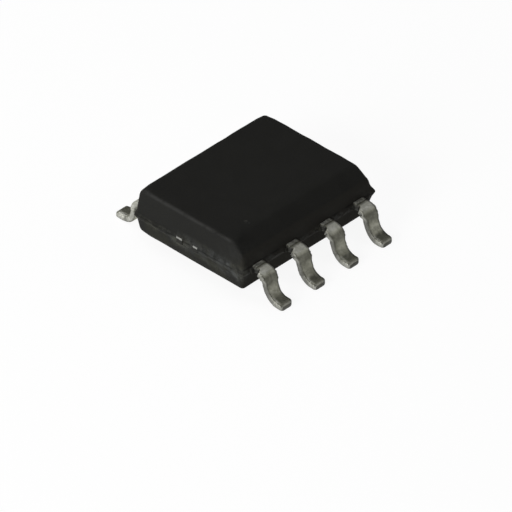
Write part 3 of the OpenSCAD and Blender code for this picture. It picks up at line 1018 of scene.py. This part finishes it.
def frame_finish():
    """Bare lead frame metal; resin is smeared over all but a strip of the tie bars' cut ends."""
    material, tree, shader = new_material("frame_metal")
    where = object_place(tree)
    axes = split(tree, where)
    grain = placed(tree, GRAIN, Place=where, Fineness=FRAME_GRAIN)
    smudge = patches(tree, where, FRAME_PATCHES)
    on_end = calc(tree, "GREATER_THAN", calc(tree, "ABSOLUTE", axes["X"]), END_FROM * MM)
    from_strip = calc(tree, "DIVIDE", apart(tree, axes["Z"], STRIP_MID), STRIP_HALF * MM)
    ragged = calc(tree, "ADD", from_strip, cloudy(tree, where, 1 / (RAGGED_SIZE * MM))["Fac"])
    flank = spread(tree, apart(tree, axes["Y"], RESIN_FLANK), FLANK_REACH, FLANK_RESIN, unit=MM)
    resin = product(tree, spread(tree, calc(tree, "ADD", ragged, flank), RESIN_FROM), on_end)
    base = layered(tree, FRAME_PALE, (smudge, SMUDGE_COAT), (resin, RESIN_COAT))
    feed(tree, shader, Base_Color=base, Metallic=calc(tree, "SUBTRACT", 1.0, resin),
         Roughness=spread(tree, resin, WHOLE, FRAME_ROUGH), Specular_IOR_Level=RESIN_SHEEN,
         Normal=bump(tree, grain["Height"], FRAME_DEPTH))
    return material


def grained_finish(name, dark, pale, fineness, patch_scale, metallic, roughness, depth):
    """A plain finish for the pieces inside: two tones in soft patches over a fine grain."""
    material, tree, shader = new_material(name)
    where = object_place(tree)
    grain = placed(tree, GRAIN, Place=where, Fineness=fineness)
    base = blend(tree, patches(tree, where, patch_scale), dark, pale)
    feed(tree, shader, Base_Color=base, Metallic=metallic, Roughness=roughness,
         Normal=bump(tree, grain["Height"], depth))
    return material


def clothe(obj, material):
    """Gives an object one material and no other."""
    obj.data.materials.clear()
    obj.data.materials.append(material)


# Pieces and their finishes
clothe(make_body(), mould_finish())
tin = lead_finish()
for number in range(1, LEADS + 1):
    clothe(make_lead(number), tin)
adhesive = grained_finish("die_adhesive", dark=(0.40, 0.40, 0.37, 1), pale=(0.55, 0.55, 0.52, 1),
                          fineness=20000.0, patch_scale=6000.0, metallic=0.0, roughness=0.55, depth=0.004)
silicon = grained_finish("silicon", dark=(0.20, 0.21, 0.26, 1), pale=(0.33, 0.35, 0.40, 1),
                         fineness=30000.0, patch_scale=2500.0, metallic=1.0, roughness=0.2, depth=0.0005)
gold = grained_finish("gold_wire", dark=(0.80, 0.55, 0.20, 1), pale=(0.90, 0.68, 0.30, 1),
                      fineness=60000.0, patch_scale=20000.0, metallic=1.0, roughness=0.25, depth=0.0005)
clothe(nodes["die_paddle"], frame_finish())
clothe(nodes["die_attach"], adhesive)
clothe(nodes["silicon_die"], silicon)
for number in range(1, LEADS + 1):
    clothe(nodes[f"bond_wire_{number}"], gold)


# Floor, surroundings and lamps: sizes and places in millimetres, lamps as place and level
FLOOR_R = 150
FLOOR_Z = -0.002
FLOOR_STEPS = 96
FLOOR_MATTE = (0.85, 0.85, 0.85, 1)
FLOOR_FAINT = (0.14, 0.14, 0.14, 1)
FLOOR_WHITE = 0.90
SKY_COLOUR = (0.98, 0.99, 1.0, 1)
SKY = 0.03
LAMP_SIZE = 60
LAMPS = {
    "left_box": ((-93, 0, 36), 0.72),
    "back_box": ((0, 77, 64), 0.28),
    "top_box": ((0, 0, 100), 0.15),
    "front_box": ((60, -60, 53), 0.12),
}

# Camera: almost parallel, on the lead 1 corner
AZIMUTH = math.radians(-46.17)
ELEVATION = math.radians(36.65)
VIEW_WIDTH = 13.44
LENS = 800
SENSOR = 36
AIM_RIGHT = 0.056
AIM_UP = -0.699
CLIP_START = 0.001
CLIP_END = 2


def seen_directly(tree):
    """1 for rays from the camera, off a glossy surface or through glass, and 0 for the rest."""
    path = add(tree, "ShaderNodeLightPath").outputs
    shown = calc(tree, "MAXIMUM", path["Is Camera Ray"], path["Is Glossy Ray"])
    return calc(tree, "MAXIMUM", shown, path["Is Transmission Ray"])


def make_floor():
    """A round pale floor just under the feet; seen directly it is mostly white, with part of its shadow."""
    turn = np.linspace(0, 2 * math.pi, FLOOR_STEPS + 1)[:-1]
    rim = np.stack([np.cos(turn), np.sin(turn), 0 * turn], axis=-1) * FLOOR_R
    rim[:, 2] = FLOOR_Z
    mesh = bpy.data.meshes.new("floor")
    mesh.from_pydata((rim * MM).tolist(), [], [list(range(len(rim)))])
    floor = bpy.data.objects.new("floor", mesh)
    bpy.context.scene.collection.objects.link(floor)
    material = bpy.data.materials.new("pale_floor")
    material.use_nodes = True
    tree = material.node_tree
    tree.nodes.clear()
    matte = add(tree, "ShaderNodeBsdfDiffuse", {"Color": FLOOR_MATTE}).outputs["BSDF"]
    white = add(tree, "ShaderNodeEmission", {"Strength": FLOOR_WHITE}).outputs["Emission"]
    faint = add(tree, "ShaderNodeBsdfDiffuse", {"Color": FLOOR_FAINT}).outputs["BSDF"]
    shown = add(tree, "ShaderNodeAddShader", {0: white, 1: faint}).outputs["Shader"]
    mix = add(tree, "ShaderNodeMixShader", {0: seen_directly(tree), 1: matte, 2: shown}).outputs["Shader"]
    add(tree, "ShaderNodeOutputMaterial", {"Surface": mix})
    clothe(floor, material)


def make_world():
    """A soft grey sky, the same all round."""
    world = bpy.data.worlds.new("studio")
    world.use_nodes = True
    background = world.node_tree.nodes["Background"]
    background.inputs["Color"].default_value = SKY_COLOUR
    background.inputs["Strength"].default_value = SKY
    bpy.context.scene.world = world


def make_lamp(name, position, level):
    """A square soft box aimed at the part; at level 1 it alone shows a white surface facing it as white."""
    data = bpy.data.lights.new(name, "AREA")
    data.shape = "SQUARE"
    data.size = LAMP_SIZE * MM
    spot = Vector(position) * MM
    data.energy = level * (math.pi * spot.length) ** 2
    lamp = bpy.data.objects.new(name, data)
    lamp.location = spot
    lamp.rotation_euler = spot.to_track_quat("Z", "Y").to_euler()
    lamp.visible_camera = False
    bpy.context.scene.collection.objects.link(lamp)


def make_camera():
    """A long lens on the line through the aim point, at the distance that gives the view's width."""
    back = Vector((math.sin(AZIMUTH) * math.cos(ELEVATION), -math.cos(AZIMUTH) * math.cos(ELEVATION),
                   math.sin(ELEVATION)))
    right = Vector((math.cos(AZIMUTH), math.sin(AZIMUTH), 0))
    up = back.cross(right)
    data = bpy.data.cameras.new("camera")
    data.lens = LENS
    data.sensor_width = SENSOR
    data.clip_start = CLIP_START
    data.clip_end = CLIP_END
    camera = bpy.data.objects.new("camera", data)
    aim = right * AIM_RIGHT + up * AIM_UP
    camera.location = (aim + back * (VIEW_WIDTH * LENS / SENSOR)) * MM
    camera.rotation_euler = back.to_track_quat("Z", "Y").to_euler()
    bpy.context.scene.collection.objects.link(camera)
    bpy.context.scene.camera = camera


make_floor()
make_world()
for lamp_name, (lamp_place, lamp_level) in LAMPS.items():
    make_lamp(lamp_name, lamp_place, lamp_level)
make_camera()
bpy.context.scene.view_settings.view_transform = "Standard"
